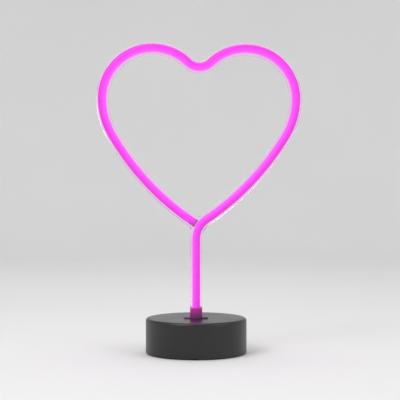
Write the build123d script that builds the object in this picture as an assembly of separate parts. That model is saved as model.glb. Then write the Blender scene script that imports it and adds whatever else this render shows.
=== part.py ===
from build123d import *

import os
from math import atan2, cos, degrees, pi, radians, sin, sqrt, tan

# Heart-shaped neon-style table light: an LED strip in a bent silicone sleeve, held by a
# clear moulded frame, standing in a round battery base.
# Millimetres. +Z is up, +X is to the right and -Y is the lit front. The origin is on the
# table, under the middle of the base, where the stem's axis meets it.
# Cuts run 1 mm past the faces that they open.

# --- Heart outline: the sleeve's midline, a chain of tangent arcs in the XZ plane ---
cleft_x = 3.0  # lowest point of the dip between the lobes, right of the stem's axis
cleft_height = 268.4
cleft_radius = 15.8
cleft_turn = 43.8  # degrees of the dip's arc on each side
lobe_radius = 47.4
shoulder_radius = 67.5
shoulder_turn = 30.5
side_radius = 250.0
heart_lean = 0.55  # degrees clockwise, seen from the front
bend_radius = 22.6  # where the right arm turns down into the stem

# --- Silicone sleeve and what is in it ---
sleeve_width = 7.2
sleeve_depth = 12.0
sleeve_back_radius = 0.8
channel_width = 4.2  # the hollow that holds the strip
channel_depth = 6.6
channel_back_wall = 1.2
strip_width = 5.4
strip_thickness = 0.3
strip_gap = 0.15
chip_pitch = 8.33
chip_length = 2.8
chip_width = 1.6
chip_thickness = 0.8
chip_gap = 0.1
chip_shift = 1.35  # from the strip's middle towards the lit front
end_cap_length = 8.0
end_cap_plug = 3.0
end_cap_gap = 0.15

# --- Clear frame behind the sleeve ---
frame_width = 11.4
frame_floor = 2.0
frame_lip = 3.4  # how far the lips reach forward beside the sleeve
frame_back_radius = 0.9
crotch_radius = 5.0  # webs where the left arm meets the stem
sleeve_fit = 0.15  # clearance round the sleeve, each side

# --- Stem collar ---
collar_height = 9.5
collar_wall = 1.95
collar_corner_radius = 3.0
collar_rim_radius = 0.65
flange_width = 22.4
flange_depth = 21.0
flange_thickness = 1.2
flange_edge_radius = 0.5
tenon_width = 20.0
tenon_depth = 18.6
tenon_fit = 0.2
tenon_tray_gap = 5.7  # room for the retainer, its screws and the leads over the tray
tenon_floor = 1.3
collar_screw_spacing = 14.0
lead_slot_width = 5.0
lead_slot_depth = 3.6

# --- Base shell ---
base_diameter = 94.6
base_height = 33.0
shell_clearance = 0.8  # the shell's rim stands this far above the table
shell_wall = 2.2
top_wall = 2.4
top_edge_radius = 2.5
rim_edge_radius = 0.6
socket_wall = 2.0
rib_thickness = 1.2
rib_gap = 1.0  # between the ribs and the retainer
cover_boss_angle = 60.0  # degrees between the X axis and each boss
cover_boss_inset = 5.1  # from the shell's inner wall to the boss's axis
cover_boss_diameter = 6.0
boss_web = 1.2
board_boss_diameter = 4.0
board_boss_side = 3.4  # from the board's side edge to the boss's axis
board_boss_front = 2.1  # from the board's front edge to the boss's axis

# --- Control panel at the back of the shell ---
panel_width = 34.0
panel_height = 12.0
panel_floor = 1.8
panel_inset = 3.8  # how far the recessed flat lies inside the shell's outline
panel_centre_height = 15.0
panel_corner_radius = 3.0
panel_pad_margin = 2.0

# --- Retainer under the shell's top ---
retainer_margin = 1.8  # how far it reaches past the socket's wall
retainer_thickness = 2.0
retainer_gap = 0.2

# --- Bottom cover with battery compartment ---
cover_recess = 0.4
cover_thickness = 2.0
cover_edge_radius = 0.4
cover_fit = 0.2
cell_count = 3
cell_diameter = 14.2
cell_length = 49.3
cell_nub_diameter = 5.5
cell_nub_height = 1.2
cell_pitch = 15.0
cell_side_gap = 0.9
cell_door_gap = 0.4
cell_roof_gap = 0.4
compartment_length = 56.0
tray_wall = 1.5
divider_thickness = 1.0
divider_depth = 3.6
ledge = 2.4
ledge_thickness = 1.6
rim_wall = 2.0
screw_pad_diameter = 8.4
screw_pad_height = 1.6

# --- Battery door ---
door_thickness = 1.8
door_gap = 0.2
door_corner_radius = 2.0
door_edge_radius = 0.3
hook_lip = 1.0  # thickness of the cover's lip that the hooks lie over
lip_round_share = 0.99  # of half the lip, so that its edge is almost a half-circle
hook_width = 8.0
hook_reach = 2.0
hook_thickness = 1.2
hook_tip_radius = 0.36
hook_root = 3.0
hook_spacing = 28.0
hook_side_gap = 0.4
latch_width = 12.0
latch_length = 9.0
latch_slit = 0.8
latch_ridge = 1.0
latch_ridge_width = 1.2
latch_notch_radius = 5.0
latch_notch_inset = 2.0  # the notch's middle lies this far inside the door's edge
latch_notch_depth = 1.0
grip_groove_depth = 0.5
grip_groove_width = 0.9
grip_groove_length = 16.0
grip_groove_count = 3

# --- Contacts ---
contact_thickness = 0.4
contact_height = 11.0
contact_link_gap = 4.0  # between neighbouring plates on one end wall
contact_dimple_diameter = 6.0
contact_dimple_height = 0.7
contact_gap = 0.05
terminal_width = 2.6
terminal_rise = 1.6  # how far a terminal stands above the tray
terminal_slot_fit = 0.3
leaf_width = 5.0
leaf_thickness = 0.4
leaf_foot = 5.0  # length of the leg that lies on the plate
leaf_fold_radius = 1.3
leaf_lean = 30.0  # degrees between the two legs
leaf_bump_radius = 1.5
leaf_tail = 0.8

# --- Feet ---
foot_diameter = 8.0
foot_sink = 0.8
foot_inset = 4.7  # from the cover's edge to a foot's middle
foot_count = 4
foot_fit = 0.1
foot_edge_radius = 0.3

# --- Board, switch and inlet ---
board_thickness = 1.6
board_panel_gap = 0.5
board_tray_gap = 1.0
board_boss_gap = 1.0  # from the board's side edges to the cover's bosses
switch_x = -8.5
switch_width = 10.0
switch_height = 6.0
switch_depth = 4.6
switch_lip = 0.8
knob_width = 3.6
knob_height = 2.4
knob_travel = 3.0
knob_proud = 1.8
knob_foot_thickness = 1.0
knob_foot_overlap = 0.7
knob_fit = 0.15
knob_window_fit = 0.3
knob_groove = 0.4
knob_groove_pitch = 1.0
knob_edge_radius = 0.15
inlet_x = 8.5
inlet_width = 8.4
inlet_depth = 7.0
inlet_nose_diameter = 5.8
inlet_nose_fit = 0.15
inlet_bore_diameter = 3.6
inlet_bore_depth = 8.0
inlet_pin_diameter = 1.3
inlet_pin_length = 7.0
inlet_mouth_chamfer = 0.3
wall_gap = 0.1
driver_width = 6.0
driver_depth = 4.0
driver_height = 1.6
driver_x = 0.2
driver_inset = 0.4  # from the board's back edge
resistor_width = 1.6
resistor_depth = 3.2
resistor_height = 0.7
resistor_count = 4
resistor_pitch = 2.2
resistor_row_x = -3.95  # middle of the row
resistor_switch_gap = 0.5

# --- Screws and leads ---
cover_screw_head = 4.8
cover_screw_head_height = 1.7
cover_screw_shank = 2.6
cover_screw_length = 8.0
small_screw_head = 4.0
small_screw_head_height = 1.5
small_screw_shank = 2.0
small_screw_length = 6.5
screw_hole_fit = 0.2
screw_head_fit = 0.25
thread_gap = 0.05
drive_slot = 0.7
head_crown = 0.55  # flat part of a screw's head, as a share of its radius
lead_diameter = 1.1
lead_gap = 0.1
lead_bend_radius = 3.0  # where the runs are long enough for it
lead_run_share = 0.45  # part of a straight run that one arc may take up
battery_lead_x = 7.0  # where the battery's leads land on the board
battery_lead_inset = 1.0  # from the board's front edge
battery_lead_detour = 25.2  # how far the positive lead follows the tray's end
strip_lead_inset = 3.4  # the same for the nearer of the strip's leads
strip_lead_pitch = 2.0
strip_lead_rise = 4.0  # how far the leads reach up into the sleeve

# --- Worked out from the sizes above ---
cover_screw = (
    cover_screw_head / 2, cover_screw_head_height, cover_screw_shank / 2, cover_screw_length
)
small_screw = (
    small_screw_head / 2, small_screw_head_height, small_screw_shank / 2, small_screw_length
)

# Across the sleeve and its frame, from front to back
sleeve_front = -sleeve_depth / 2
sleeve_back = sleeve_depth / 2
groove_floor = sleeve_back + sleeve_fit
frame_front = groove_floor - frame_lip
frame_back = groove_floor + frame_floor
channel_front = sleeve_back - channel_back_wall - channel_depth
channel_middle = channel_front + channel_depth / 2

# Up from the table: cover, door, cells and tray
cover_bottom = shell_clearance + cover_recess
cover_top = cover_bottom + cover_thickness
door_top = cover_bottom + door_thickness
recess_roof = door_top + door_gap
ledge_top = recess_roof + ledge_thickness
screw_pad_top = cover_top + screw_pad_height
cell_axis_height = door_top + cell_door_gap + cell_diameter / 2
tray_ceiling = cell_axis_height + cell_diameter / 2 + cell_roof_gap
tray_top = tray_ceiling + tray_wall
shell_roof = base_height - top_wall  # underside of the shell's top
lead_height = tray_top + lead_gap + lead_diameter / 2

# Along and across the cells
compartment_half = compartment_length / 2
compartment_width = (cell_count - 1) * cell_pitch + cell_diameter + 2 * cell_side_gap
contact_face = compartment_half - contact_thickness  # inner face of the contact plates
nub_tip = contact_face - contact_dimple_height - contact_gap
door_length = compartment_length + 2 * ledge
door_width = compartment_width + 2 * ledge
hook_nose = hook_lip / 2
hinge_x = -door_length / 2 - door_gap - hook_nose
hinge_z = cover_bottom + hook_nose

# Collar, socket and retainer
collar_top = base_height + collar_height
pocket_width = sleeve_width + 2 * sleeve_fit
pocket_front = sleeve_front - sleeve_fit
pocket_back = frame_back + sleeve_fit
pocket_middle = (pocket_front + pocket_back) / 2
collar_width = pocket_width + 2 * collar_wall
collar_depth = pocket_back - pocket_front + 2 * collar_wall
tenon_bottom = tray_top + tenon_tray_gap
pocket_floor = tenon_bottom + tenon_floor
sleeve_bottom = pocket_floor + sleeve_fit
retainer_top = tenon_bottom - retainer_gap
retainer_bottom = retainer_top - retainer_thickness
socket_width = tenon_width + 2 * (tenon_fit + socket_wall)
socket_depth = tenon_depth + 2 * (tenon_fit + socket_wall)
lead_slot_front = sleeve_back - channel_back_wall - lead_slot_depth
collar_screw_places = (-collar_screw_spacing / 2, collar_screw_spacing / 2)

# Round the shell
base_radius = base_diameter / 2
shell_inner_radius = base_radius - shell_wall
cover_radius = shell_inner_radius - cover_fit
foot_circle_radius = cover_radius - foot_inset
cover_boss_radius = shell_inner_radius - cover_boss_inset
cover_boss_x = cover_boss_radius * cos(radians(cover_boss_angle))
cover_boss_y = cover_boss_radius * sin(radians(cover_boss_angle))
cover_screw_places = [
    (x, y) for x in (-cover_boss_x, cover_boss_x) for y in (-cover_boss_y, cover_boss_y)
]

# Rear panel and board
panel_plane = base_radius - panel_inset
panel_inner = panel_plane - panel_floor
housing_back = panel_inner - wall_gap
board_top = panel_centre_height - switch_height / 2
board_bottom = board_top - board_thickness
board_back = panel_inner - board_panel_gap
board_front = compartment_width / 2 + tray_wall + board_tray_gap
board_half = cover_boss_x - cover_boss_diameter / 2 - board_boss_gap
board_boss_x = board_half - board_boss_side
board_screw_places = [
    (x, board_front + board_boss_front) for x in (-board_boss_x, board_boss_x)
]


def rounded_box(width, depth, height, radius, middle=(0, 0), bottom=0.0):
    """An upright block with rounded vertical corners, from its bottom face upwards."""
    outline = Pos(*middle) * RectangleRounded(width, depth, radius)
    return Pos(0, 0, bottom) * extrude(outline, height)


def block(low, high):
    """A plain block between two corners."""
    sizes = [b - a for a, b in zip(low, high)]
    centre = [(a + b) / 2 for a, b in zip(low, high)]
    return Pos(*centre) * Box(*sizes)


def upright(radius, bottom, top, x=0.0, y=0.0):
    """A vertical cylinder between two heights."""
    return Pos(x, y, (bottom + top) / 2) * Cylinder(radius, top - bottom)


# --- The heart's midline -------------------------------------------------------------


def turn_sign(turn):
    """+1 for a turn to the left and -1 for one to the right."""
    return 1 if turn > 0 else -1


def side_circle(side):
    """Centre of the right (+1) or left (-1) side's long arc, and the heading at its top."""
    heading = radians(-heart_lean if side > 0 else 180 - heart_lean)
    x, z = cleft_x, cleft_height
    turns = (
        (cleft_radius, cleft_turn),
        (lobe_radius, -90 - cleft_turn),
        (shoulder_radius, -shoulder_turn),
    )
    for radius, turn in turns:
        way = turn_sign(turn * side)
        centre_x = x - way * radius * sin(heading)
        centre_z = z + way * radius * cos(heading)
        heading += radians(turn * side)
        x = centre_x + way * radius * sin(heading)
        z = centre_z - way * radius * cos(heading)
    centre_x = x + side * side_radius * sin(heading)
    centre_z = z - side * side_radius * cos(heading)
    return centre_x, centre_z, degrees(heading)


def heart_steps():
    """The midline from the foot of the stem to the left arm's end.

    Returns the steps of the stem and right half, those of the left half, and the
    degrees that the left arm's arc turns before it reaches the stem's axis. A step is a
    radius and a turn in degrees, to the left when positive; radius 0 is a straight run.
    """
    # Right side: the side arc meets the bend, which is tangent to the stem's axis.
    right_x, right_z, heading = side_circle(1)
    reach = side_radius + bend_radius
    bend_z = right_z - sqrt(reach**2 - (bend_radius - right_x) ** 2)
    contact = degrees(atan2(bend_z - right_z, bend_radius - right_x)) - 90
    right_turn = heading - contact
    bend_turn = -90 - contact
    right = [
        (0, bend_z - sleeve_bottom),
        (bend_radius, -bend_turn),
        (side_radius, right_turn),
        (shoulder_radius, shoulder_turn),
        (lobe_radius, 90 + cleft_turn),
        (cleft_radius, -cleft_turn),
    ]
    # Left side: its arc runs on until it crosses the stem's axis.
    left_x, left_z, heading = side_circle(-1)
    crossing = 270 - degrees(atan2(left_x, sqrt(side_radius**2 - left_x**2)))
    left_turn = crossing + 90 - heading
    left = [
        (cleft_radius, -cleft_turn),
        (lobe_radius, 90 + cleft_turn),
        (shoulder_radius, shoulder_turn),
    ]
    return right, left, left_turn


def walk(start, heading, steps, shift=0.0):
    """Edges of a tangent chain in the sketch plane, shifted to its right-hand side."""
    tangent = Vector(1, 0).rotate(Axis.Z, heading)
    point = Vector(*start) + tangent.rotate(Axis.Z, -90) * shift
    edges = []
    for radius, amount in steps:
        if radius == 0:
            edge = Line(point, point + tangent * amount)
        else:
            edge = JernArc(point, tangent, radius + shift * turn_sign(amount), amount)
        edges.append(edge)
        point = edge @ 1
        tangent = edge % 1
    return edges


right_steps, left_steps, left_turn = heart_steps()
stem_foot = (0.0, sleeve_bottom)
cleft = (cleft_x, cleft_height)
cleft_heading = 180 - heart_lean
degrees_per_mm = 180 / pi / side_radius
cap_turn = (end_cap_length + sleeve_width / 2) * degrees_per_mm


def band(start, heading, steps, half_width):
    """A flat strip of even width along a chain, as a face in the sketch plane."""
    right_edge = walk(start, heading, steps, half_width)
    left_edge = walk(start, heading, steps, -half_width)
    foot = Line(left_edge[0] @ 0, right_edge[0] @ 0)
    head = Line(right_edge[-1] @ 1, left_edge[-1] @ 1)
    return make_face(Wire(right_edge + left_edge + [foot, head]).edges())


def right_band(half_width, foot_drop=0.0):
    """Stem, bend and right half of the heart, with the stem shortened by foot_drop."""
    stem = (0, right_steps[0][1] - foot_drop)
    start = (stem_foot[0], stem_foot[1] + foot_drop)
    return band(start, 90, [stem] + right_steps[1:], half_width)


def left_band(half_width):
    """Left half of the heart, down to the stem's axis."""
    return band(cleft, cleft_heading, left_steps + [(side_radius, left_turn)], half_width)


def slab(outline, front, back):
    """A sketch in the heart's plane, thickened from its front to its back."""
    return Pos(0, back, 0) * (Plane.XZ * extrude(outline, back - front))


def sleeve_path(shift=0.0, foot_rise=0.0, end_turn=cap_turn):
    """The sleeve's midline as one wire, from the stem's foot to the left arm's end."""
    stem = (0, right_steps[0][1] - foot_rise)
    start = (stem_foot[0], stem_foot[1] + foot_rise)
    end = (side_radius, left_turn - end_turn)
    steps = [stem] + right_steps[1:] + left_steps + [end]
    return Plane.XZ * Wire(walk(start, 90, steps, shift))


def sleeve_section(hollow=True):
    """Cross-section across the stem: domed front, flat back, hollow for the strip."""
    half = sleeve_width / 2
    outline = [
        Line((-half, sleeve_front + half), (-half, sleeve_back)),
        Line((-half, sleeve_back), (half, sleeve_back)),
        Line((half, sleeve_back), (half, sleeve_front + half)),
        CenterArc((0, sleeve_front + half), half, 180, 180),
    ]
    face = make_face(outline)
    back_corners = face.vertices().sort_by(Axis.Y)[-2:]
    face = fillet(back_corners, sleeve_back_radius)
    if hollow:
        face -= Pos(0, channel_middle) * Rectangle(channel_width, channel_depth)
    return face


# --- Heart ---------------------------------------------------------------------------


def make_neon_sleeve():
    """The lit silicone sleeve, one length bent from the stem round to the left arm."""
    section = Pos(0, 0, sleeve_bottom) * sleeve_section()
    return sweep(section, sleeve_path())


def make_end_cap():
    """Plug that closes the left end, coped to lie against the sleeve of the stem."""
    end = (side_radius, left_turn)
    start_steps = left_steps + [(side_radius, left_turn - cap_turn)]
    approach = walk(cleft, cleft_heading, start_steps)
    point, tangent = approach[-1] @ 1, approach[-1] % 1
    heading = degrees(atan2(tangent.Y, tangent.X))
    cap = swept_stub(point, heading, [(side_radius, cap_turn)], sleeve_section(False))
    plug_turn = end_cap_plug * degrees_per_mm
    back_steps = left_steps + [(side_radius, end[1] - cap_turn - plug_turn)]
    back = walk(cleft, cleft_heading, back_steps)[-1]
    plug_tangent = back % 1
    plug_heading = degrees(atan2(plug_tangent.Y, plug_tangent.X))
    plug_width = channel_width - 2 * (strip_thickness + 2 * strip_gap)
    plug_outline = Rectangle(plug_width, channel_depth - 2 * strip_gap)
    plug_face = Pos(0, channel_middle) * plug_outline
    plug = swept_stub(back @ 1, plug_heading, [(side_radius, plug_turn)], plug_face)
    stem = slab(
        right_band(sleeve_width / 2 + end_cap_gap), sleeve_front - 1, sleeve_back + 1
    )
    return cap + plug - stem


def swept_stub(point, heading, steps, section):
    """A short sweep of a section that was drawn across an upward path."""
    path = Plane.XZ * Wire(walk((point.X, point.Y), heading, steps))
    placed = Pos(point.X, 0, point.Y) * Rot(0, 90 - heading, 0) * section
    return sweep(placed, path)


def make_back_frame():
    """Clear moulded frame: a gutter behind the sleeve, with a webbed Y at the stem."""
    half = frame_width / 2
    foot_drop = collar_top - sleeve_bottom
    right, left = right_band(half, foot_drop), left_band(half)
    outline = right + left
    outline = fillet(crotch_corners(outline, right.vertices() + left.vertices()), crotch_radius)
    body = slab(outline, frame_front, frame_back)
    back_edges = body.faces().sort_by(Axis.Y)[-1].edges()
    rims = [edge for edge in back_edges if (edge @ 0.5).Z > collar_top + 0.1]
    body = fillet(rims, frame_back_radius)
    fit = sleeve_width / 2 + sleeve_fit
    groove = slab(right_band(fit), frame_front - 1, groove_floor)
    groove += slab(left_band(fit), frame_front - 1, groove_floor)
    tongue = block(
        (-sleeve_width / 2, groove_floor, sleeve_bottom),
        (sleeve_width / 2, frame_back, collar_top),
    )
    return body - groove + tongue


def crotch_corners(outline, own_corners):
    """Corners that neither band has by itself: the inside corners of the Y."""
    return [
        corner
        for corner in outline.vertices()
        if all(Vector(*corner).sub(Vector(*own)).length > 0.01 for own in own_corners)
    ]


def make_led_strip():
    """Flexible circuit standing on edge by the outer wall of the sleeve's hollow."""
    shift = channel_width / 2 - strip_gap - strip_thickness / 2
    section = Pos(shift, channel_middle, sleeve_bottom) * Rectangle(strip_thickness, strip_width)
    return sweep(section, sleeve_path(shift))


def make_led_chips():
    """The row of light-emitting chips on the strip's inner face."""
    strip_face = channel_width / 2 - strip_gap - strip_thickness
    path = sleeve_path(strip_face - chip_gap - chip_thickness / 2)
    chip = Box(chip_thickness, chip_width, chip_length)
    row = Pos(0, channel_middle - chip_shift, 0)
    chips = []
    distance = chip_pitch
    while distance < path.length - chip_pitch / 2:
        point = path.position_at(distance, position_mode=PositionMode.LENGTH)
        tangent = path.tangent_at(distance, position_mode=PositionMode.LENGTH)
        lean = degrees(atan2(tangent.X, tangent.Z))
        chips.append(row * Pos(point) * Rot(0, lean, 0) * chip)
        distance += chip_pitch
    return chips


# --- Stem mounting -------------------------------------------------------------------


def make_stem_collar():
    """Frosted socket that holds the stem's foot: boot, thin flange and tenon."""
    middle = (0, pocket_middle)
    boot = rounded_box(
        collar_width, collar_depth, collar_height, collar_corner_radius, middle, base_height
    )
    flange = rounded_box(
        flange_width, flange_depth, flange_thickness, collar_corner_radius, middle, base_height
    )
    flange = fillet(flange.edges().group_by(Axis.Z)[-1], flange_edge_radius)
    tenon = rounded_box(
        tenon_width,
        tenon_depth,
        base_height - tenon_bottom,
        collar_corner_radius / 2,
        middle,
        tenon_bottom,
    )
    solid = boot + flange + tenon
    top_rim = solid.faces().sort_by(Axis.Z)[-1].edges()
    solid = fillet(top_rim, collar_rim_radius)
    solid -= block(
        (-pocket_width / 2, pocket_front, pocket_floor),
        (pocket_width / 2, pocket_back, collar_top + 1),
    )
    solid -= block(
        (-lead_slot_width / 2, lead_slot_front, tenon_bottom - 1),
        (lead_slot_width / 2, lead_slot_front + lead_slot_depth, pocket_floor + 1),
    )
    for x in collar_screw_places:
        solid -= pilot_hole(small_screw, retainer_bottom, x, pocket_middle)
    return solid


def make_stem_retainer():
    """Plate that clamps the collar from inside the shell, slotted for the strip's leads."""
    plate = rounded_box(
        socket_width + 2 * retainer_margin,
        socket_depth + 2 * retainer_margin,
        retainer_thickness,
        collar_corner_radius,
        (0, pocket_middle),
        retainer_bottom,
    )
    plate -= block(
        (-lead_slot_width / 2, lead_slot_front, retainer_bottom - 1),
        (lead_slot_width / 2, lead_slot_front + lead_slot_depth, retainer_top + 1),
    )
    hole_radius = small_screw_shank / 2 + screw_hole_fit
    for x in collar_screw_places:
        plate -= upright(hole_radius, retainer_bottom - 1, retainer_top + 1, x, pocket_middle)
    return plate


def make_screw(size, x, y, seat):
    """Pan-head screw pointing up from the height of its seat, with a cross drive."""
    head, dome, shank, tip = size
    corners = [
        (0, -dome),
        (head_crown * head, -dome),
        (head, -dome / 2),
        (head, 0),
        (shank, 0),
        (shank, tip - 2 * shank),
        (0, tip),
    ]
    screw = revolve(Plane.XZ * make_face(Polyline(*corners, close=True)), Axis.Z)
    slot = Box(head, drive_slot, dome) + Box(drive_slot, head, dome)
    return Pos(x, y, seat) * (screw - Pos(0, 0, -dome) * slot)


# --- Base ----------------------------------------------------------------------------

def pilot_hole(size, seat, x, y):
    """Hole that a screw's shank fills, from its seat to just past its tip."""
    _, _, shank, length = size
    return upright(shank + thread_gap, seat, seat + length + thread_gap, x, y)


def make_base_shell():
    """Drum with a closed top: collar socket, screw bosses, ribs and the rear panel."""
    drum = upright(base_radius, shell_clearance, base_height)
    drum = fillet(drum.edges().sort_by(Axis.Z)[-1], top_edge_radius)
    drum = fillet(drum.edges().sort_by(Axis.Z)[0], rim_edge_radius)
    hollow = upright(shell_inner_radius, shell_clearance - 1, shell_roof)
    hollow = fillet(hollow.edges().sort_by(Axis.Z)[-1], top_edge_radius / 2)
    inside = [make_socket()] + make_ribs() + make_bosses() + [make_panel_pad()]
    fittings = inside[0]
    for piece in inside[1:]:
        fittings += piece
    shell = (drum - hollow) + (fittings & drum)
    shell -= rounded_box(
        tenon_width + 2 * tenon_fit,
        tenon_depth + 2 * tenon_fit,
        base_height,
        collar_corner_radius / 2 + tenon_fit,
        (0, pocket_middle),
        retainer_top,
    )
    shell -= panel_cuts()
    for x, y in cover_screw_places:
        shell -= pilot_hole(cover_screw, cover_top, x, y)
    for x, y in board_screw_places:
        shell -= pilot_hole(small_screw, board_bottom, x, y)
    return shell


def make_socket():
    """Wall round the collar's tenon, down to the retainer."""
    return rounded_box(
        socket_width,
        socket_depth,
        base_height - top_wall / 2 - retainer_top,
        collar_corner_radius,
        (0, pocket_middle),
        retainer_top,
    )


def make_ribs():
    """Four stiffening ribs under the top, from the socket to the side wall."""
    half = rib_thickness / 2
    low = (tenon_width / 2, -half, retainer_top + rib_gap)
    rib = block(low, (base_radius, half, base_height - top_wall / 2))
    return [Rot(0, 0, angle) * rib for angle in (0, 90, 180, 270)]


def make_bosses():
    """Screw bosses for the cover, webbed to the side wall, and for the board."""
    bosses = []
    for x, y in cover_screw_places:
        bosses.append(upright(cover_boss_diameter / 2, screw_pad_top, shell_roof + 1, x, y))
        web = block((0, -boss_web / 2, screw_pad_top), (base_radius, boss_web / 2, shell_roof + 1))
        web -= upright(sqrt(x**2 + y**2), screw_pad_top - 1, base_height)
        bosses.append(Rot(0, 0, degrees(atan2(y, x))) * web)
    for x, y in board_screw_places:
        bosses.append(upright(board_boss_diameter / 2, board_top, shell_roof + 1, x, y))
    return bosses


def make_panel_pad():
    """Thickening behind the recessed flat at the back."""
    half_width = panel_width / 2 + panel_pad_margin
    half_height = panel_height / 2 + panel_pad_margin
    return block(
        (-half_width, panel_inner, panel_centre_height - half_height),
        (half_width, base_radius, panel_centre_height + half_height),
    )


def rear_bar(outline, front, back):
    """A sketch in the rear panel's plane, thickened from front to back."""
    placed = Plane.XZ * Pos(0, panel_centre_height) * outline
    return Pos(0, back, 0) * extrude(placed, back - front)


def panel_cuts():
    """Recessed flat at the back, with the switch's window and the inlet's hole."""
    recess = RectangleRounded(panel_width, panel_height, panel_corner_radius)
    window = Pos(switch_x, 0) * Rectangle(
        knob_width + knob_travel + 2 * knob_window_fit, knob_height + 2 * knob_window_fit
    )
    hole = Pos(inlet_x, 0) * Circle(inlet_nose_diameter / 2 + inlet_nose_fit)
    cuts = rear_bar(recess, panel_plane, base_radius + 1)
    cuts += rear_bar(window, panel_inner - 1, base_radius)
    cuts += rear_bar(hole, panel_inner - 1, base_radius)
    return cuts


def make_bottom_cover():
    """Round cover with the battery tray, a ledged door recess, hook slots and foot seats."""
    cover = upright(cover_radius, cover_bottom, cover_top)
    cover = fillet(cover.edges().sort_by(Axis.Z)[0], cover_edge_radius)
    rim = rounded_box(
        door_length + 2 * (door_gap + rim_wall),
        door_width + 2 * (door_gap + rim_wall),
        ledge_top - cover_bottom,
        door_corner_radius + door_gap + rim_wall,
        bottom=cover_bottom,
    )
    cover += rim & upright(cover_radius, cover_bottom, ledge_top)
    cover += rounded_box(
        compartment_length + 2 * tray_wall,
        compartment_width + 2 * tray_wall,
        tray_top - cover_bottom,
        tray_wall,
        bottom=cover_bottom,
    )
    for x, y in cover_screw_places:
        cover += upright(screw_pad_diameter / 2, cover_top, screw_pad_top, x, y)
    recess = rounded_box(
        door_length + 2 * door_gap,
        door_width + 2 * door_gap,
        recess_roof - cover_bottom,
        door_corner_radius + door_gap,
        bottom=cover_bottom,
    )
    cover -= recess
    mouth = [e for e in cover.edges() if is_recess_mouth(e)]
    cover = fillet(mouth, hook_nose * lip_round_share)
    cover -= block(
        (-compartment_half, -compartment_width / 2, cover_bottom),
        (compartment_half, compartment_width / 2, tray_ceiling),
    )
    cover += make_dividers()
    cover -= cover_cuts()
    return cover


def is_recess_mouth(edge):
    """Whether an edge of the cover's underside goes round the door's recess."""
    middle = edge @ 0.5
    within = abs(middle.X) < door_length / 2 + 1 and abs(middle.Y) < door_width / 2 + 1
    return within and abs(middle.Z - cover_bottom) < 0.01


def cell_rows():
    """Y of each cell's axis, and +1 or -1 for the end that its nub points to."""
    first = -(cell_count - 1) * cell_pitch / 2
    return [(first + i * cell_pitch, 1 if i % 2 == 0 else -1) for i in range(cell_count)]


def make_dividers():
    """Ribs that hang from the tray's ceiling between the cells."""
    dividers = []
    end = contact_face - cell_side_gap
    for (y, _), (next_y, _) in zip(cell_rows(), cell_rows()[1:]):
        middle = (y + next_y) / 2
        low = (-end, middle - divider_thickness / 2, tray_ceiling - divider_depth)
        high = (end, middle + divider_thickness / 2, tray_ceiling + tray_wall / 2)
        dividers.append(block(low, high))
    return dividers


def cover_cuts():
    """Everything cut out of the cover apart from the door's recess."""
    cuts = [make_hook_slot(y) for y in (-hook_spacing / 2, hook_spacing / 2)]
    edge = door_length / 2
    cuts.append(
        block(
            (edge - latch_ridge_width - 2 * door_gap, -latch_width / 2, recess_roof - 0.1),
            (edge + door_gap, latch_width / 2, recess_roof + latch_ridge + door_gap),
        )
    )
    notch_top = cover_bottom + latch_notch_depth
    cuts.append(upright(latch_notch_radius, 0, notch_top, edge - latch_notch_inset))
    for x, y in cover_screw_places:
        cuts.append(upright(cover_screw_head / 2 + screw_head_fit, 0, cover_top, x, y))
        cuts.append(
            upright(cover_screw_shank / 2 + screw_hole_fit, 0, screw_pad_top + 1, x, y)
        )
    for x, y in foot_places():
        cuts.append(upright(foot_diameter / 2 + foot_fit, 0, cover_bottom + foot_sink, x, y))
    for x, y in terminal_places():
        half = terminal_width / 2 + terminal_slot_fit
        depth = contact_thickness + terminal_slot_fit
        inner = x - (depth if x > 0 else 0)
        cuts.append(
            block((inner, y - half, tray_ceiling - 1), (inner + depth, y + half, tray_top + 1))
        )
    return cuts


def make_hook_slot(y):
    """Room for a hook to lie over the cover's lip and to swing up as the door opens."""
    half = hook_width / 2 + hook_side_gap
    reach = hook_reach + hook_side_gap
    height = sqrt(reach**2 + (hook_nose + door_gap + hook_thickness) ** 2) + hook_side_gap
    inner = -door_length / 2 + hook_root + hook_side_gap
    slot = block((hinge_x - reach, y - half, hinge_z), (inner, y + half, hinge_z + height))
    slot -= block(
        (hinge_x - reach - 1, y - half, hinge_z - 1), (hinge_x, y + half, hinge_z + hook_nose)
    )
    nose = Pos(hinge_x, y, hinge_z) * Rot(90, 0, 0) * Cylinder(hook_nose, 2 * half)
    return slot - nose


def make_battery_door():
    """Door with two hooks on the left edge and a slit latch tongue on the right one."""
    door = rounded_box(
        door_length, door_width, door_thickness, door_corner_radius, bottom=cover_bottom
    )
    door = fillet(door.edges().group_by(Axis.Z)[0], door_edge_radius)
    hook_bottom = hinge_z + hook_nose + door_gap
    for y in (-hook_spacing / 2, hook_spacing / 2):
        hook = block(
            (hinge_x - hook_reach, y - hook_width / 2, hook_bottom),
            (-door_length / 2 + hook_root, y + hook_width / 2, hook_bottom + hook_thickness),
        )
        tip = hook.faces().sort_by(Axis.X)[0].edges().filter_by(Axis.Y)
        door += fillet(tip, hook_tip_radius)
    edge = door_length / 2
    for side in (-1, 1):
        y = side * (latch_width - latch_slit) / 2
        door -= block(
            (edge - latch_length, y - latch_slit / 2, cover_bottom - 1),
            (edge + 1, y + latch_slit / 2, door_top + 1),
        )
    ridge_half = latch_width / 2 - latch_slit - door_gap
    door += block(
        (edge - latch_ridge_width, -ridge_half, cover_bottom + door_thickness / 2),
        (edge, ridge_half, door_top + latch_ridge),
    )
    for i in range(grip_groove_count):
        x = edge - latch_length / 2 - i * 2 * grip_groove_width
        door -= block(
            (x, -grip_groove_length / 2, cover_bottom - 1),
            (x + grip_groove_width, grip_groove_length / 2, cover_bottom + grip_groove_depth),
        )
    return door


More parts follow.
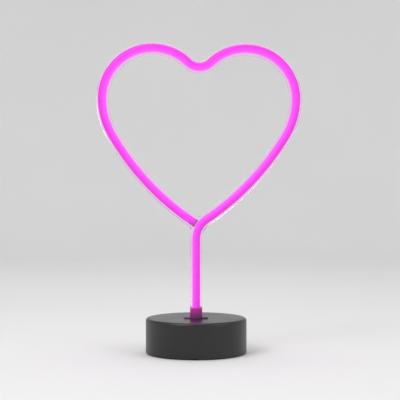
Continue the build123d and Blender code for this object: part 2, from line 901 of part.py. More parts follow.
def foot_places():
    """Middles of the feet, evenly round the cover."""
    angles = [2 * pi * i / foot_count for i in range(foot_count)]
    return [(foot_circle_radius * cos(a), foot_circle_radius * sin(a)) for a in angles]


def make_foot_pads():
    """Soft pads sunk in the cover, the only pieces that touch the table."""
    pads = []
    for x, y in foot_places():
        pad = upright(foot_diameter / 2, 0, cover_bottom + foot_sink, x, y)
        pads.append(fillet(pad.edges().sort_by(Axis.Z)[0], foot_edge_radius))
    return pads


# --- Power ---------------------------------------------------------------------------

def make_cell(y, side):
    """One dry cell lying along X, with its nub towards the given side."""
    shoulder = nub_tip - cell_nub_height
    can = Pos(shoulder - cell_length / 2, 0, 0) * Rot(0, 90, 0) * Cylinder(
        cell_diameter / 2, cell_length
    )
    can = fillet(can.edges().filter_by(GeomType.CIRCLE), cell_side_gap)
    nub = Pos(shoulder + cell_nub_height / 2, 0, 0) * Rot(0, 90, 0) * Cylinder(
        cell_nub_diameter / 2, cell_nub_height
    )
    turned = Rot(0, 0, 0 if side > 0 else 180) * (can + nub)
    return Pos(0, y, cell_axis_height) * turned


def terminal_places():
    """Inner face of the end wall and Y of the first cell's nub and the last one's can."""
    (first_y, first_side), (last_y, last_side) = cell_rows()[0], cell_rows()[-1]
    return [(first_side * compartment_half, first_y), (-last_side * compartment_half, last_y)]


def make_contact_plates():
    """Plates on the end walls that join the cells in a row, with the two terminals."""
    rows = cell_rows()
    groups = [(rows[0][1], rows[:1]), (-rows[-1][1], rows[-1:])]
    for before, after in zip(rows, rows[1:]):
        groups.append((-before[1], [before, after]))
    plates = []
    bottom = cell_axis_height - contact_height / 2
    for end, cells in groups:
        reach = (cell_pitch - contact_link_gap) / 2
        low_y, high_y = cells[0][0] - reach, cells[-1][0] + reach
        wall = end * compartment_half
        face = end * contact_face
        low_x, high_x = min(wall, face), max(wall, face)
        plate = block((low_x, low_y, bottom), (high_x, high_y, bottom + contact_height))
        for y, side in cells:
            if side == end:
                plate += make_dimple(y, end)
        if len(cells) == 1:
            half = terminal_width / 2
            middle = cells[0][0]
            plate += block(
                (low_x, middle - half, bottom), (high_x, middle + half, tray_top + terminal_rise)
            )
        plates.append(plate)
    return plates


def make_dimple(y, end):
    """Pressed bump that meets a cell's nub."""
    big = contact_dimple_diameter / 2
    cone = Cone(big, big / 2, contact_dimple_height)
    middle = end * (contact_face - contact_dimple_height / 2)
    return Pos(middle, y, cell_axis_height) * Rot(0, -90 * end, 0) * cone


def make_contact_springs():
    """Folded leaf springs that press on the flat ends of the cells."""
    room = contact_face - 2 * contact_gap - (cell_length + cell_nub_height - nub_tip)
    rise = leaf_fold_radius * (1 + cos(radians(leaf_lean)))
    rise += leaf_bump_radius * (1 - cos(radians(leaf_lean)))
    leg = (room - leaf_thickness - rise) / sin(radians(leaf_lean))
    steps = [
        (0, leaf_foot),
        (leaf_fold_radius, leaf_lean - 180),
        (0, leg),
        (leaf_bump_radius, -2 * leaf_lean),
        (0, leaf_tail),
    ]
    start = (0, -leaf_foot / 2)
    section = Plane(origin=start + (0,), x_dir=(1, 0, 0), z_dir=(0, 1, 0))
    section *= Rectangle(leaf_thickness, leaf_width)
    leaf = sweep(section, Wire(walk(start, 90, steps)))
    springs = []
    for y, side in cell_rows():
        foot = -side * (contact_face - contact_gap - leaf_thickness / 2)
        springs.append(Pos(foot, y, cell_axis_height) * Rot(0, 0, 90 - 90 * side) * leaf)
    return springs


def make_control_board():
    """Circuit board that carries the switch and the inlet behind the rear panel."""
    board = block(
        (-board_half, board_front, board_bottom), (board_half, board_back, board_top)
    )
    corners = board.edges().filter_by(Axis.Z).sort_by(Axis.Y)[-2:]
    board = chamfer(corners, panel_corner_radius / 2)
    for x, y in board_screw_places:
        hole_radius = small_screw_shank / 2 + screw_hole_fit
        board -= upright(hole_radius, board_bottom - 1, board_top + 1, x, y)
    return board


def on_board(width, depth, height, x, back):
    """A rectangular component on the board's top face, given where its back face lies."""
    return block(
        (x - width / 2, back - depth, board_top), (x + width / 2, back, board_top + height)
    )


def make_driver_chip():
    """Controller between the switch and the inlet."""
    back = board_back - driver_inset
    return on_board(driver_width, driver_depth, driver_height, driver_x, back)


def make_board_resistors():
    """Row of surface-mounted resistors in front of the switch."""
    back = housing_back - switch_depth - resistor_switch_gap
    first = resistor_row_x - (resistor_count - 1) * resistor_pitch / 2
    size = (resistor_width, resistor_depth, resistor_height)
    return [on_board(*size, first + i * resistor_pitch, back) for i in range(resistor_count)]


def make_switch_housing():
    """Slide switch's body, hollow for the knob's foot."""
    housing = on_board(switch_width, switch_depth, switch_height, switch_x, housing_back)
    window = Rectangle(knob_width + knob_travel + 2 * knob_fit, knob_height + 2 * knob_fit)
    foot_width = knob_width + 2 * knob_foot_overlap
    foot_height = knob_height + 2 * knob_foot_overlap
    room = Rectangle(foot_width + knob_travel + 2 * knob_fit, foot_height + 2 * knob_fit)
    lip_front = housing_back - switch_lip
    room_front = lip_front - knob_foot_thickness - 2 * knob_fit
    housing -= rear_bar(Pos(switch_x, 0) * window, room_front, housing_back + 1)
    housing -= rear_bar(Pos(switch_x, 0) * room, room_front, lip_front)
    return housing


def make_switch_knob():
    """Ribbed slider, at the lit end of its travel."""
    x = switch_x - knob_travel / 2
    lip_front = housing_back - switch_lip
    foot_back = lip_front - knob_fit
    foot_front = foot_back - knob_foot_thickness
    foot = Rectangle(knob_width + 2 * knob_foot_overlap, knob_height + 2 * knob_foot_overlap)
    knob = rear_bar(Pos(x, 0) * foot, foot_front, foot_back)
    top = panel_plane + knob_proud
    grip = rear_bar(Pos(x, 0) * Rectangle(knob_width, knob_height), foot_front, top)
    knob += fillet(grip.edges().group_by(Axis.Y)[-1], knob_edge_radius)
    for i in (-1, 0, 1):
        groove = Pos(x + i * knob_groove_pitch, 0) * Rectangle(knob_groove, knob_height + 1)
        knob -= rear_bar(groove, top - knob_groove, top + 1)
    return knob


def make_inlet_housing():
    """Round low-voltage inlet: body on the board, nose through the panel and a bore."""
    housing = on_board(inlet_width, inlet_depth, switch_height, inlet_x, housing_back)
    place = Pos(inlet_x, 0)
    housing += rear_bar(place * Circle(inlet_nose_diameter / 2), housing_back - 1, panel_plane)
    bore_bottom = panel_plane - inlet_bore_depth
    housing -= rear_bar(place * Circle(inlet_bore_diameter / 2), bore_bottom, panel_plane + 1)
    mouth = housing.edges().filter_by(GeomType.CIRCLE).group_by(Axis.Y)[-1].sort_by(SortBy.RADIUS)
    return chamfer(mouth[0], inlet_mouth_chamfer)


def make_inlet_pin():
    """Centre contact of the inlet."""
    bore_bottom = panel_plane - inlet_bore_depth
    outline = Pos(inlet_x, 0) * Circle(inlet_pin_diameter / 2)
    pin = rear_bar(outline, bore_bottom, bore_bottom + inlet_pin_length)
    return fillet(pin.edges().sort_by(Axis.Y)[-1], inlet_pin_diameter / 4)


def make_lead(*points):
    """Insulated wire through the given points, with arcs as large as the runs allow."""
    route = [Vector(*point) for point in points]
    radii = []
    for before, corner, after in zip(route, route[1:], route[2:]):
        turn = radians((corner - before).get_angle(after - corner))
        run = min((corner - before).length, (after - corner).length)
        radii.append(min(lead_bend_radius, lead_run_share * run / tan(turn / 2)))
    path = FilletPolyline(*route, radius=radii)
    section = Plane(origin=path @ 0, z_dir=path % 0) * Circle(lead_diameter / 2)
    return sweep(section, path)


def battery_lead(terminal, turn_y=None):
    """Lead from a terminal over the tray to the board."""
    x, y = terminal
    side = 1 if x > 0 else -1
    start_x = side * (contact_face - lead_gap - lead_diameter / 2)
    points = [(start_x, y, lead_height)]
    if turn_y is not None:
        points.append((start_x, turn_y, lead_height))
    landing = (side * battery_lead_x, board_front + battery_lead_inset)
    points += [(*landing, lead_height), (*landing, board_top)]
    return make_lead(*points)


def strip_lead(index):
    """Lead from the board under the retainer and up to the strip, one above the other."""
    step = lead_diameter + lead_gap
    strip_face = channel_width / 2 - strip_gap - strip_thickness
    x = strip_face - lead_gap - lead_diameter / 2
    height = lead_height + index * step
    board_y = board_front + strip_lead_inset + index * strip_lead_pitch
    slot_middle = lead_slot_front + lead_slot_depth / 2
    slot_y = slot_middle + (index - 0.5) * step
    top = sleeve_bottom + strip_lead_rise
    return make_lead(
        (x, board_y, board_top), (x, board_y, height), (x, slot_y, height), (x, slot_y, top)
    )


# --- Output --------------------------------------------------------------------------


def save(name, *solids):
    """Write one node's STEP file; several solids make a group."""
    shape = solids[0] if len(solids) == 1 else Compound(children=list(solids))
    shape.label = name
    export_step(shape, f"parts/{name}.step")


os.makedirs("parts", exist_ok=True)
save("neon_sleeve", make_neon_sleeve())
save("back_frame", make_back_frame())
save("tube_end_cap", make_end_cap())
save("led_strip", make_led_strip())
save("led_chips", *make_led_chips())
save("stem_collar", make_stem_collar())
save("stem_retainer", make_stem_retainer())
save(
    "retainer_screws",
    *[make_screw(small_screw, x, pocket_middle, retainer_bottom) for x in collar_screw_places],
)
save("base_shell", make_base_shell())
save("bottom_cover", make_bottom_cover())
save(
    "cover_screws", *[make_screw(cover_screw, x, y, cover_top) for x, y in cover_screw_places]
)
save("battery_door", make_battery_door())
save("foot_pads", *make_foot_pads())
for number, (row_y, row_side) in enumerate(cell_rows(), start=1):
    save(f"battery_{number}", make_cell(row_y, row_side))
save("contact_plates", *make_contact_plates())
save("contact_springs", *make_contact_springs())
save("control_board", make_control_board())
save(
    "board_screws", *[make_screw(small_screw, x, y, board_bottom) for x, y in board_screw_places]
)
save("driver_chip", make_driver_chip())
save("board_resistors", *make_board_resistors())
save("switch_housing", make_switch_housing())
save("switch_knob", make_switch_knob())
save("inlet_housing", make_inlet_housing())
save("inlet_pin", make_inlet_pin())
positive, negative = terminal_places()
save("positive_lead", battery_lead(positive, positive[1] + battery_lead_detour))
save("negative_lead", battery_lead(negative))
save("strip_lead_inner", strip_lead(0))
save("strip_lead_outer", strip_lead(1))
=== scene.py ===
import math

import bmesh
import bpy
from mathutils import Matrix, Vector
from mathutils.geometry import tessellate_polygon


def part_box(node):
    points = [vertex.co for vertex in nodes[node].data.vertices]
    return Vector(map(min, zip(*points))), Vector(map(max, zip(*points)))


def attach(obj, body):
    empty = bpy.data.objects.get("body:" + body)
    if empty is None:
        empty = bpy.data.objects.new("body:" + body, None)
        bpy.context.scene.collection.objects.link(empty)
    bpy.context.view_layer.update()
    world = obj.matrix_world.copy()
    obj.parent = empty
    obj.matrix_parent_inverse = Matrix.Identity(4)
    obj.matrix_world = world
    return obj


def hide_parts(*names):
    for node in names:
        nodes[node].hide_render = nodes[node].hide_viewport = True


# A heart-shaped neon-style table light in a plain pale studio. The CAD nodes carry the
# shapes; the lit sleeve and the clear frame behind it are rebuilt as finer meshes along
# the same arcs, so that the glow can follow the tube and the clear walls stay smooth.
# Shapes are worked out in millimetres and become metres (MM) when a mesh is made.

MM = 0.001

# --- The tube's midline, a chain of tangent arcs in the XZ plane ---
CLEFT = (3.0, 268.4)
CLEFT_RADIUS = 15.8
CLEFT_TURN = 43.8  # degrees, on each side of the cleft
LOBE_RADIUS = 47.4
SHOULDER_RADIUS = 67.5
SHOULDER_TURN = 30.5
SIDE_RADIUS = 250.0
HEART_LEAN = 0.55
BEND_RADIUS = 22.6
CHORD_ERROR = 0.006  # how far a mesh edge may lie inside its arc
MERGE_DISTANCE = 0.001  # points closer than this become one

# --- Sleeve ---
SLEEVE_HALF = 3.6
SLEEVE_FRONT = -6.0
SLEEVE_BACK = 6.0
SLEEVE_BACK_RADIUS = 0.8
SLEEVE_BOTTOM = 26.65
CHANNEL_HALF = 2.1  # the hollow that holds the strip
CHANNEL_FRONT = -1.8
CHANNEL_BACK = 4.8
CAP_LENGTH = 11.6  # along the left arm, from the stem's axis to the end of the sleeve
CHIP_PITCH = 8.33  # the glow pulses faintly with the chips behind it
CAP_FADE = (-9.0, -6.0)  # X between which the end cap starts to dim downwards
CAP_DARK_HEIGHT = 117.7  # it is dimmest at this height and fully lit at the next
CAP_LIT_HEIGHT = 125.5
# The tip's darkening is painted shade for the dark gap beside the stem.
CAP_TIP = (-2.2, 0.2)  # X between which its tip goes dark
CAP_TIP_SHARE = 0.75
DOME_SEGMENTS = 24
CORNER_SEGMENTS = 4

# --- Clear frame ---
FRAME_HALF = 5.7
FRAME_FRONT = 2.75
GROOVE_HALF = 3.75
GROOVE_FLOOR = 6.15
FRAME_BACK = 8.15
FRAME_BACK_RADIUS = 0.9
CROTCH_RADIUS = 5.0
EDGE_SEGMENTS = 6
CROTCH_SEGMENTS = 14

# --- Base ---
COLLAR_TOP = 42.5
FLANGE_TOP = 34.2
FLANGE_FADE = 0.2  # the collar's glow ends this far below the flange's top
PANEL_PLANE = 43.5
LABEL_SIZE = 2.3
LABEL_RAISE = 0.05
LABEL_HEIGHT = 18.7
SWITCH_LABELS = (("switch_mark_on", "ON", -11.2), ("switch_mark_off", "OFF", -5.6))

# --- Studio, in metres ---
FLOOR_RADIUS = 1.7
SWEEP_RADIUS = 0.7
WALL_HEIGHT = 2.6
WALL_GLOW = 0.15
GLOW_FROM = 0.4  # the far floor starts to glow behind this Y
GLOW_HEIGHT = 0.35  # the wall glows fully above this height
SWEEP_SEGMENTS = 16
WALL_SEGMENTS = 96
WORLD_COLOUR = (0.95, 0.97, 1.0, 1.0)
WORLD_STRENGTH = 0.45
LAMPS = (  # name, place, target, side and watts
    ("key_lamp", (-0.9, -1.0, 1.3), (0, 0, 0.12), 0.9, 14.0),
    ("fill_lamp", (1.1, -0.7, 0.7), (0, 0, 0.12), 0.8, 5.0),
    ("top_lamp", (0.0, 0.3, 1.5), (0, 0, 0.1), 1.0, 8.0),
)
CAMERA_PLACE = (0.0036, -0.953, 0.1434)
CAMERA_LENS = 91.3
CAMERA_SENSOR = 36.0
CAMERA_REACH = 50.0

# --- Emission colours of the lit pieces ---
TUBE_INNER = (0.82, 0.085, 0.80)
TUBE_MIDDLE = (0.76, 0.026, 0.76)
TUBE_OUTER = (0.58, 0.010, 0.42)
CAP_LIT = (0.76, 0.028, 0.74)
CAP_DARK = (0.20, 0.006, 0.17)
# The collar and flange are no lamps: their glow is painted light of the tube inside them, with
# painted shade towards the foot.
COLLAR_LIT = (0.30, 0.005, 0.165)
COLLAR_FOOT = (0.085, 0.005, 0.075)
FLANGE_LIT = (0.045, 0.003, 0.05)
# The clear frame is no lamp either: its faint glow is painted light of the tube it holds.
FRAME_LIT = (0.05, 0.002, 0.045)
CHIP_LIT = (1.0, 0.22, 0.93)

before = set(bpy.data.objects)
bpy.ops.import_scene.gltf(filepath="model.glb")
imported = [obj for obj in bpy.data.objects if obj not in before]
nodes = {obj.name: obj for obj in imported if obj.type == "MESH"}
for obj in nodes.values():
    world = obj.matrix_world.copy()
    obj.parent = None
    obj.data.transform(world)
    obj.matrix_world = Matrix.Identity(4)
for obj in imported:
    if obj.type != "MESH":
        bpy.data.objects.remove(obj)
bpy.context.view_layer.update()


# --- Midline -------------------------------------------------------------------------


class Arc:
    """An arc of the midline: centre, radius, first polar angle and turn, in degrees.

    A turn to the left is positive. Offsets are to the right-hand side, the outer side.
    """

    def __init__(self, start, heading, radius, turn):
        self.way = 1 if turn > 0 else -1
        self.radius = radius
        self.turn = turn
        self.first = heading - self.way * 90
        self.centre = move(start, self.first, -radius)
        self.last = self.first + turn
        self.end = move(self.centre, self.last, radius)
        self.heading = heading + turn
        chord = 2 * math.degrees(math.acos(1 - CHORD_ERROR / radius))
        self.count = math.ceil(abs(turn) / chord)

    def points(self, offset, first=None, last=None):
        """Points of the arc's offset between two polar angles, both ends included."""
        first = self.first if first is None else first
        last = self.last if last is None else last
        reach = self.radius + offset * self.way
        steps = [first + (last - first) * i / self.count for i in range(self.count + 1)]
        return [move(self.centre, angle, reach) for angle in steps]


def move(start, angle, distance):
    """A point at a polar angle in degrees and a distance from another."""
    turn = math.radians(angle)
    return start[0] + distance * math.cos(turn), start[1] + distance * math.sin(turn)


def polar(centre, point):
    """Polar angle of a point about a centre, from 0 to 360 degrees."""
    return math.degrees(math.atan2(point[1] - centre[1], point[0] - centre[0])) % 360


def chain(start, heading, steps):
    """Tangent arcs, one after another."""
    arcs = []
    for radius, turn in steps:
        arc = Arc(start, heading, radius, turn)
        arcs.append(arc)
        start, heading = arc.end, arc.heading
    return arcs


def side_circle(side):
    """Centre of the right (+1) or left (-1) side's long arc, and the heading at its top."""
    heading = -HEART_LEAN if side > 0 else 180 - HEART_LEAN
    steps = [
        (CLEFT_RADIUS, CLEFT_TURN * side),
        (LOBE_RADIUS, -(90 + CLEFT_TURN) * side),
        (SHOULDER_RADIUS, -SHOULDER_TURN * side),
    ]
    top = chain(CLEFT, heading, steps)[-1]
    return move(top.end, top.heading - 90 * side, SIDE_RADIUS), top.heading


def heart_arcs():
    """Arcs of the right half, from the stem upwards, and of the left half, downwards."""
    (right_x, right_z), heading = side_circle(1)
    reach = SIDE_RADIUS + BEND_RADIUS
    bend_z = right_z - math.sqrt(reach**2 - (BEND_RADIUS - right_x) ** 2)
    contact = math.degrees(math.atan2(bend_z - right_z, BEND_RADIUS - right_x)) - 90
    lobe = (LOBE_RADIUS, 90 + CLEFT_TURN)
    shoulder = (SHOULDER_RADIUS, SHOULDER_TURN)
    cleft = (CLEFT_RADIUS, -CLEFT_TURN)
    bend = (BEND_RADIUS, 90 + contact)
    right_side = (SIDE_RADIUS, heading - contact)
    right = chain((0, bend_z), 90, [bend, right_side, shoulder, lobe, cleft])
    (left_x, _), heading = side_circle(-1)
    crossing = math.degrees(math.atan2(left_x, math.sqrt(SIDE_RADIUS**2 - left_x**2)))
    left_side = (SIDE_RADIUS, 360 - crossing - heading)
    left = chain(CLEFT, 180 - HEART_LEAN, [cleft, lobe, shoulder, left_side])
    return right, left


RIGHT_ARCS, LEFT_ARCS = heart_arcs()
BEND, LEFT_SIDE = RIGHT_ARCS[0], LEFT_ARCS[-1]


# --- Meshes --------------------------------------------------------------------------


def mesh_object(name, points, faces, smooth_angle=40, **attributes):
    """A mesh from points in millimetres, smooth but for edges over the angle.

    Attributes are lists of numbers, one for each point.
    """
    mesh = bpy.data.meshes.new(name)
    mesh.from_pydata([Vector(point) * MM for point in points], [], faces)
    for attribute, values in attributes.items():
        mesh.attributes.new(attribute, "FLOAT", "POINT").data.foreach_set("value", values)
    work = bmesh.new()
    work.from_mesh(mesh)
    bmesh.ops.remove_doubles(work, verts=work.verts, dist=MERGE_DISTANCE * MM)
    bmesh.ops.recalc_face_normals(work, faces=work.faces)
    work.to_mesh(mesh)
    work.free()
    piece = bpy.data.objects.new(name, mesh)
    bpy.context.scene.collection.objects.link(piece)
    mesh.shade_smooth()
    mesh.set_sharp_from_angle(angle=math.radians(smooth_angle))
    return piece


def sleeve_rings():
    """Rings (point, outward angle, run) of the sleeve, from its foot to the left end."""
    bend_z = BEND.centre[1]
    rings = [((0, SLEEVE_BOTTOM), 0, 0.0), ((0, bend_z), 0, bend_z - SLEEVE_BOTTOM)]
    cap_turn = math.degrees(CAP_LENGTH / SIDE_RADIUS)
    for arc in RIGHT_ARCS + LEFT_ARCS:
        last = arc.last - (cap_turn if arc is LEFT_SIDE else 0)
        run = rings[-1][2]
        length = arc.radius * math.radians(abs(last - arc.first))
        for i, point in enumerate(arc.points(0, last=last)[1:], start=1):
            share = i / arc.count
            outward = arc.first + (last - arc.first) * share + (0 if arc.way > 0 else 180)
            rings.append((point, outward, run + length * share))
    return rings


def sleeve_outline():
    """Section of the sleeve as (across, depth) points: domed front and rounded back."""
    dome_middle = SLEEVE_FRONT + SLEEVE_HALF
    outline = []
    for i in range(DOME_SEGMENTS + 1):
        outline.append(move((0, dome_middle), 180 + 180 * i / DOME_SEGMENTS, SLEEVE_HALF))
    for side, first in ((1, 0), (-1, 90)):
        middle = (side * (SLEEVE_HALF - SLEEVE_BACK_RADIUS), SLEEVE_BACK - SLEEVE_BACK_RADIUS)
        for i in range(CORNER_SEGMENTS + 1):
            outline.append(move(middle, first + 90 * i / CORNER_SEGMENTS, SLEEVE_BACK_RADIUS))
    return outline


def make_sleeve():
    """The hollow sleeve, with its side and run kept on the points for the material."""
    outline = sleeve_outline()
    channel = [(-CHANNEL_HALF, CHANNEL_FRONT), (CHANNEL_HALF, CHANNEL_FRONT)]
    channel += [(across, CHANNEL_BACK) for across, _ in reversed(channel)]
    section = outline + channel
    around, inside = len(section), len(outline)
    points, sides, runs = [], [], []
    for middle, outward, run in sleeve_rings():
        for across, depth in section:
            x, z = move(middle, outward, across)
            points.append((x, depth, z))
            sides.append(across / SLEEVE_HALF)
            runs.append(run)
    last = len(points) - around
    faces = []
    loops = [[Vector((across, depth, 0)) for across, depth in row] for row in (outline, channel)]
    for triangle in tessellate_polygon(loops):
        faces += [tuple(triangle), tuple(last + i for i in triangle)]
    for low in range(0, last, around):
        for first, count in ((0, inside), (inside, around - inside)):
            for i in range(count):
                a, b = low + first + i, low + first + (i + 1) % count
                faces.append((a, b, b + around, a + around))
    return mesh_object("lit_sleeve", points, faces, tube_side=sides, tube_run=runs)


def meet(first, first_radius, second, second_radius):
    """Left-hand one of the two points where two circles cross."""
    span = math.dist(first, second)
    along = (span**2 + first_radius**2 - second_radius**2) / (2 * span)
    across = math.sqrt(first_radius**2 - along**2)
    foot = move(first, polar(first, second), along)
    crossings = [move(foot, polar(first, second) + turn, across) for turn in (90, -90)]
    return min(crossings)


def corner_arc(centre, radius, first, last):
    """Rounding in the frame's Y, turning the short way between two polar angles."""
    turn = (last - first + 180) % 360 - 180
    shares = [i / CROTCH_SEGMENTS for i in range(CROTCH_SEGMENTS + 1)]
    return [move(centre, first + turn * share, radius) for share in shares]


def frame_loops(half):
    """The frame's outer line, open at the foot, and its inner loop, for a half-width.

    The lines stay parallel as the half-width changes, and keep the same number of points.
    The groove's own lines meet at sharp corners.
    """
    corner = max(0.0, FRAME_HALF + CROTCH_RADIUS - half) if half > GROOVE_HALF else 0.0
    reach = half + corner
    bend, side = BEND.centre, LEFT_SIDE.centre
    out = meet(side, SIDE_RADIUS + reach, bend, BEND_RADIUS + reach)
    outer = [(half, COLLAR_TOP)]
    for arc in RIGHT_ARCS + LEFT_ARCS[:-1]:
        outer += arc.points(half)
    outer += LEFT_SIDE.points(half, last=polar(side, out))
    outer += corner_arc(out, corner, polar(out, side), polar(out, bend))
    outer += BEND.points(-half, first=polar(bend, out), last=BEND.first)
    outer.append((-half, COLLAR_TOP))
    inside = meet(side, SIDE_RADIUS - reach, bend, BEND_RADIUS + reach)
    inner = BEND.points(-half, first=polar(bend, inside))
    for arc in RIGHT_ARCS[1:] + LEFT_ARCS[:-1]:
        inner += arc.points(-half)
    inner += LEFT_SIDE.points(-half, last=polar(side, inside))
    inner += corner_arc(inside, corner, polar(side, inside), polar(inside, bend))
    return outer, inner


class Shell:
    """Points and faces of a closed surface, gathered a strip at a time."""

    def __init__(self):
        self.points, self.faces = [], []

    def face(self, corners):
        """One flat face through the given points."""
        first = len(self.points)
        self.points += corners
        self.faces.append(tuple(range(first, first + len(corners))))

    def strip(self, low, high, closed=False):
        """Quads between two rows of points."""
        pairs = list(zip(low, low[1:], high[1:], high))
        if closed:
            pairs.append((low[-1], low[0], high[0], high[-1]))
        for corners in pairs:
            self.face(list(corners))

    def plate(self, *rows):
        """A flat face with holes: the outline first and then each hole."""
        flat = [point for row in rows for point in row]
        for triangle in tessellate_polygon([[Vector(point) for point in row] for row in rows]):
            self.face([flat[i] for i in triangle])


def make_frame():
    """The clear frame: a gutter that follows the sleeve, webbed where the arms meet."""
    levels = [(FRAME_HALF, FRAME_FRONT)]
    middle = (FRAME_HALF - FRAME_BACK_RADIUS, FRAME_BACK - FRAME_BACK_RADIUS)
    for i in range(EDGE_SEGMENTS + 1):
        levels.append(move(middle, 90 * i / EDGE_SEGMENTS, FRAME_BACK_RADIUS))
    levels.append((middle[0] - FRAME_BACK_RADIUS / 3, FRAME_BACK))  # keeps the back flat
    rows = [level_rows(half, depth) for half, depth in levels]
    lip = level_rows(GROOVE_HALF, FRAME_FRONT)
    floor = level_rows(GROOVE_HALF, GROOVE_FLOOR)
    shell = Shell()
    for low, high in [*zip(rows, rows[1:]), (lip, rows[0]), (lip, floor)]:
        shell.strip(low[0], high[0])
        shell.strip(low[1], high[1], closed=True)
    front_tongue, back_tongue = tongue_row(GROOVE_FLOOR), tongue_row(FRAME_BACK)
    shell.strip(front_tongue, back_tongue)
    shell.plate(floor[0] + front_tongue, floor[1])
    shell.plate(rows[-1][0] + back_tongue, rows[-1][1])
    for end, tongue_end in ((0, -1), (-1, 0)):
        foot = [row[0][end] for row in rows]
        foot += [back_tongue[tongue_end], front_tongue[tongue_end]]
        shell.face(foot + [floor[0][end], lip[0][end]])
    return mesh_object("clear_frame", shell.points, shell.faces)


def level_rows(half, depth):
    """The frame's outer line and inner loop at one depth."""
    return [[(x, depth, z) for x, z in loop] for loop in frame_loops(half)]


def tongue_row(depth):
    """Outline of the frame's tongue, which goes down into the collar, at one depth."""
    corners = [(-1, COLLAR_TOP), (-1, SLEEVE_BOTTOM), (1, SLEEVE_BOTTOM), (1, COLLAR_TOP)]
    return [(side * SLEEVE_HALF, depth, z) for side, z in corners]


# --- Materials -----------------------------------------------------------------------


class Finish:
    """A Principled material and short ways to wire textures into it.

    Textures lie in the object's own metres, so a noise of scale 1000 has millimetre grain.
    """

    def __init__(self, name, **sockets):
        self.material = bpy.data.materials.new(name)
        self.material.use_nodes = True
        self.tree = self.material.node_tree
        self.shader = self.tree.nodes["Principled BSDF"]
        self.place = self.node("ShaderNodeTexCoord").outputs["Object"]
        for socket, value in sockets.items():
            self.set(socket.replace("_", " "), value)

    def node(self, kind, **inputs):
        """A new node with some inputs set to values or linked to outputs."""
        made = self.tree.nodes.new(kind)
        for name, value in inputs.items():
            self.feed(made.inputs[name.replace("_", " ")], value)
        return made

    def feed(self, socket, value):
        """Link an output to a socket, or set the socket's own value."""
        if isinstance(value, bpy.types.NodeSocket):
            self.tree.links.new(value, socket)
        else:
            socket.default_value = value

    def set(self, socket, value):
        """Set or link one of the shader's sockets."""
        self.feed(self.shader.inputs[socket], opaque(value))

    def noise(self, scale, detail=3.0, stretch=None):
        """Noise as a value about 0.5."""
        place = self.place
        if stretch:
            mapping = self.node("ShaderNodeMapping", Vector=place)
            mapping.inputs["Scale"].default_value = stretch
            place = mapping.outputs["Vector"]
        made = self.node("ShaderNodeTexNoise", Vector=place, Scale=scale, Detail=detail)
        return made.outputs["Fac"]

    def spread(self, value, low, high, start=0.3, end=0.7):
        """Map a value from start..end to low..high, clamped."""
        limits = {"From_Min": start, "From_Max": end, "To_Min": low, "To_Max": high}
        return self.node("ShaderNodeMapRange", Value=value, **limits).outputs["Result"]

    def mix(self, share, first, second):
        """Mix two colours by a share of 0 to 1."""
        made = self.tree.nodes.new("ShaderNodeMix")
        made.data_type = "RGBA"
        self.feed(made.inputs["Factor"], share)
        self.feed(colour_socket(made.inputs, "A"), opaque(first))
        self.feed(colour_socket(made.inputs, "B"), opaque(second))
        return colour_socket(made.outputs, "Result")

    def bump(self, height, distance, strength=1.0):
        """Raise the surface by a texture; the distance is in millimetres."""
        made = self.node(
            "ShaderNodeBump", Height=height, Distance=distance * MM, Strength=strength
        )
        normal = self.shader.inputs["Normal"]
        if normal.is_linked:
            self.tree.links.new(normal.links[0].from_socket, made.inputs["Normal"])
        self.tree.links.new(made.outputs["Normal"], normal)

    def maths(self, operation, first, second=0.0):
        """One arithmetic node."""
        made = self.tree.nodes.new("ShaderNodeMath")
        made.operation = operation
        self.feed(made.inputs[0], first)
        self.feed(made.inputs[1], second)
        return made.outputs[0]

    def axis(self, vector, letter):
        """One component of a vector output."""
        return self.node("ShaderNodeSeparateXYZ", Vector=vector).outputs[letter]


def opaque(value):
    """A colour with its alpha added; anything else as it is."""
    return (*value, 1.0) if isinstance(value, tuple) and len(value) == 3 else value


def colour_socket(sockets, name):
    """A Mix node's colour socket, which shares its name with sockets of other types."""
    return next(s for s in sockets if s.name == name and s.type == "RGBA")


def lit_silicone():
    """Glowing sleeve: lighter on the inner side, deeper on the outer side by the strip."""
    finish = Finish("lit_silicone", Base_Color=(0.22, 0.012, 0.18), Roughness=0.5)
    side = finish.node("ShaderNodeAttribute")
    side.attribute_name = "tube_side"
    run = finish.node("ShaderNodeAttribute")
    run.attribute_name = "tube_run"
    ramp = finish.node("ShaderNodeValToRGB", Fac=finish.spread(side.outputs["Fac"], 0, 1, -1, 1))
    stops = ramp.color_ramp.elements
    stops[0].color = opaque(TUBE_INNER)
    stops[1].color = opaque(TUBE_OUTER)
    stops.new(0.55).color = opaque(TUBE_MIDDLE)
    beat = finish.maths("MULTIPLY", run.outputs["Fac"], 2 * math.pi / CHIP_PITCH)
    beat = finish.spread(finish.maths("COSINE", beat), 0.97, 1.0, -1, 1)
    cloud = finish.spread(finish.noise(90.0), 0.97, 1.03)
    finish.set("Emission Color", ramp.outputs["Color"])
    finish.set("Emission Strength", finish.maths("MULTIPLY", beat, cloud))
    finish.bump(finish.noise(1400.0), 0.02, 0.4)
    return finish.material


def end_silicone():
    """Solid end of the tube: carries the sleeve's light and dims downwards; the darker tip is
    painted shade.
    """
    finish = Finish("end_silicone", Base_Color=(0.20, 0.02, 0.17), Roughness=0.5)
    across = finish.axis(finish.place, "X")
    height = finish.axis(finish.place, "Z")
    below = finish.spread(height, 1.0, 0.0, CAP_DARK_HEIGHT * MM, CAP_LIT_HEIGHT * MM)
    fade = finish.spread(across, 0.0, 1.0, CAP_FADE[0] * MM, CAP_FADE[1] * MM)
    # Painted shade: the tip's glow is darkened where the gap beside the stem lies.
    tip = finish.spread(across, 0.0, CAP_TIP_SHARE, CAP_TIP[0] * MM, CAP_TIP[1] * MM)
    share = finish.maths("MAXIMUM", finish.maths("MULTIPLY", below, fade), tip)
    finish.set("Emission Color", finish.mix(share, CAP_LIT, CAP_DARK))
    finish.set("Emission Strength", finish.spread(finish.noise(90.0), 0.97, 1.03))
    finish.bump(finish.noise(1400.0), 0.02, 0.4)
    return finish.material


